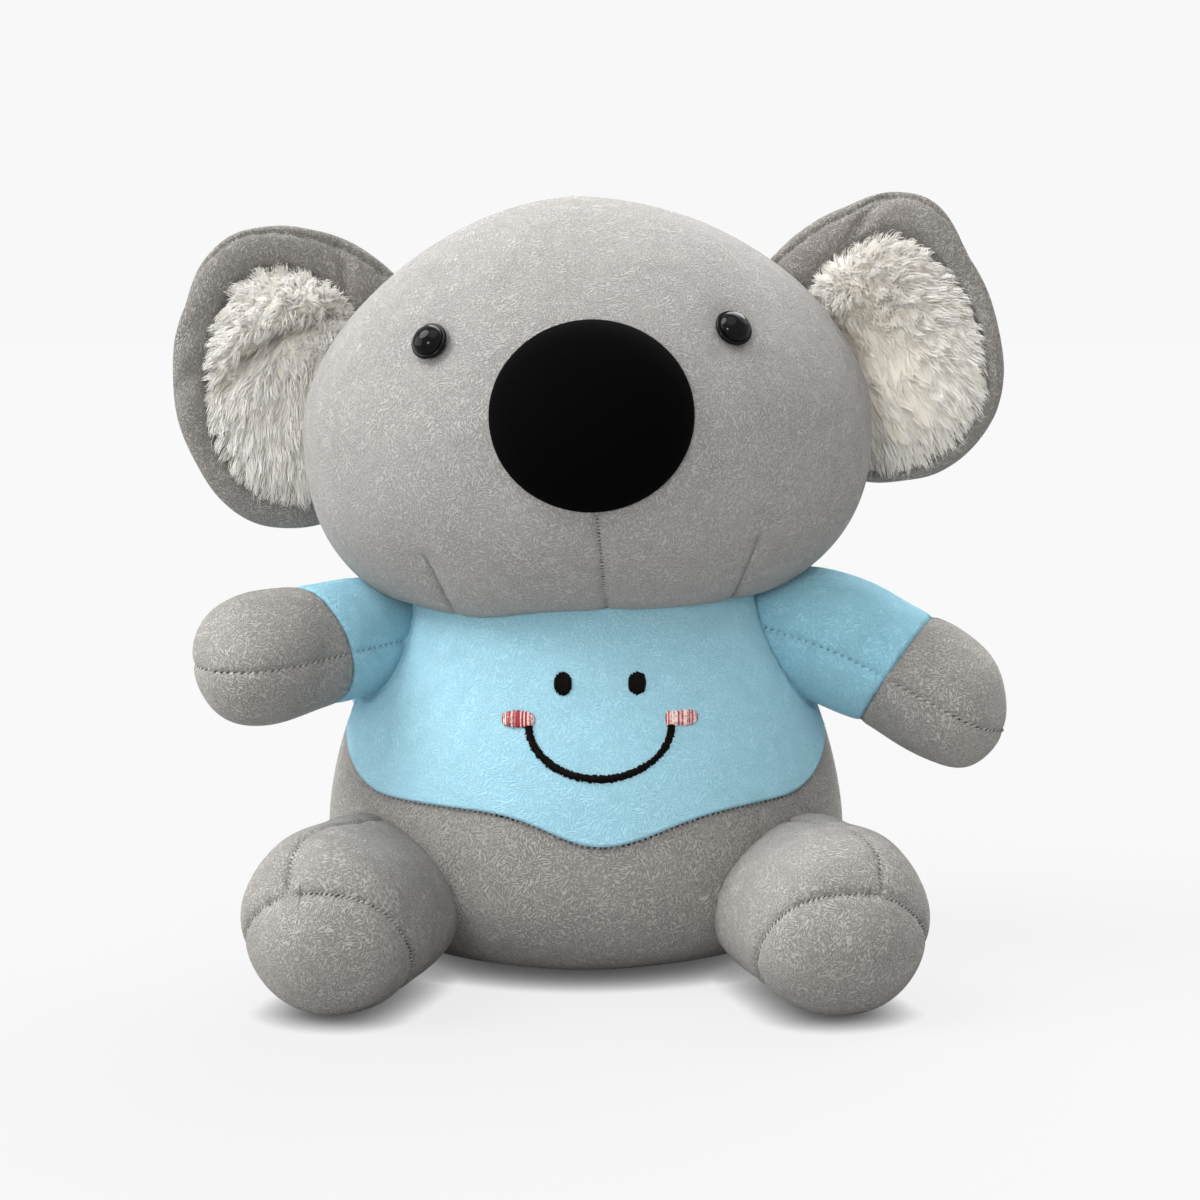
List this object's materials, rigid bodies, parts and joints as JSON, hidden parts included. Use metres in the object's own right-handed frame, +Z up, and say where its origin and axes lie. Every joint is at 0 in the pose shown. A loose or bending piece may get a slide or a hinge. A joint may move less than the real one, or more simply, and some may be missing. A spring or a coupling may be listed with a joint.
{
  "type": "seated plush koala",
  "caption": "Soft seated koala toy with a large head, round furry ears, a padded nose and a short-sleeved top with an embroidered smile.",
  "frame": {"origin": "on the floor under the middle of the seat, on the flat underside of the seat panel", "axes": "+Z up; the toy faces -Y and its own left side is +X"},
  "size_m": [0.2676, 0.1651, 0.2507],
  "materials": {
    "grey_plush": "short-pile velboa, matt",
    "blue_plush": "short-pile velboa, matt",
    "cream_fur": "long-pile faux fur",
    "white_wadding": "polyester fibre",
    "black_plush": "short-pile velvet, matt",
    "black_plastic": "polished",
    "white_plastic": "moulded",
    "dark_thread": "satin stitch embroidery thread",
    "coral_thread": "satin stitch embroidery thread"
  },
  "bodies": {
    "torso": {"torso_stuffing": "white_wadding", "shirt_front": "blue_plush", "shirt_back": "blue_plush", "lower_front_panel": "grey_plush", "seat_panel": "grey_plush", "embroidered_smile": "dark_thread", "embroidered_dot_left": "dark_thread", "embroidered_dot_right": "dark_thread", "embroidered_cheek_left": "coral_thread", "embroidered_cheek_right": "coral_thread"},
    "head": {"head_stuffing": "white_wadding", "face_panel": "grey_plush", "head_back_panel": "grey_plush", "nose_cover": "black_plush", "nose_pad": "white_wadding", "eye_left": "black_plastic", "eye_right": "black_plastic", "eye_washer_left": "white_plastic", "eye_washer_right": "white_plastic"},
    "ear_left": {"ear_back_left": "grey_plush", "ear_border_left": "grey_plush", "ear_fur_left": "cream_fur", "ear_wadding_left": "white_wadding"},
    "ear_right": {"ear_back_right": "grey_plush", "ear_border_right": "grey_plush", "ear_fur_right": "cream_fur", "ear_wadding_right": "white_wadding"},
    "arm_left": {"arm_stuffing_left": "white_wadding", "sleeve_upper_left": "blue_plush", "sleeve_lower_left": "blue_plush", "paw_upper_left": "grey_plush", "paw_lower_left": "grey_plush"},
    "arm_right": {"arm_stuffing_right": "white_wadding", "sleeve_upper_right": "blue_plush", "sleeve_lower_right": "blue_plush", "paw_upper_right": "grey_plush", "paw_lower_right": "grey_plush"},
    "leg_left": {"leg_stuffing_left": "white_wadding", "leg_outer_left": "grey_plush", "leg_inner_left": "grey_plush", "sole_left": "grey_plush"},
    "leg_right": {"leg_stuffing_right": "white_wadding", "leg_outer_right": "grey_plush", "leg_inner_right": "grey_plush", "sole_right": "grey_plush"}
  },
  "joints": [
    {"name": "neck_turn", "type": "hinge", "parent": "torso", "child": "head", "pos_m": [0, -0.004, 0.1215], "axis": [0, 0, 1], "range_deg": [-15, 15], "stiffness_Nm_per_rad": 0.2},
    {"name": "ear_left_fold", "type": "hinge", "parent": "head", "child": "ear_left", "pos_m": [0.0768, 0.009, 0.1982], "axis": [-0.4924, 0, 0.8704], "range_deg": [-12, 12], "stiffness_Nm_per_rad": 0.04},
    {"name": "ear_right_fold", "type": "hinge", "parent": "head", "child": "ear_right", "pos_m": [-0.0789, 0.009, 0.1887], "axis": [0.3827, 0, 0.9239], "range_deg": [-12, 12], "stiffness_Nm_per_rad": 0.04},
    {"name": "shoulder_left", "type": "hinge", "parent": "torso", "child": "arm_left", "pos_m": [0.0675, -0.007, 0.107], "axis": [0, 0, -1], "range_deg": [-15, 20], "stiffness_Nm_per_rad": 0.2},
    {"name": "shoulder_right", "type": "hinge", "parent": "torso", "child": "arm_right", "pos_m": [-0.0675, -0.007, 0.107], "axis": [0, 0, 1], "range_deg": [-15, 20], "stiffness_Nm_per_rad": 0.2},
    {"name": "hip_left", "type": "hinge", "parent": "torso", "child": "leg_left", "pos_m": [0.06, -0.04, 0.0283], "axis": [0, 0, 1], "range_deg": [-12, 12], "stiffness_Nm_per_rad": 0.2},
    {"name": "hip_right", "type": "hinge", "parent": "torso", "child": "leg_right", "pos_m": [-0.06, -0.04, 0.0283], "axis": [0, 0, -1], "range_deg": [-12, 12], "stiffness_Nm_per_rad": 0.2}
  ]
}
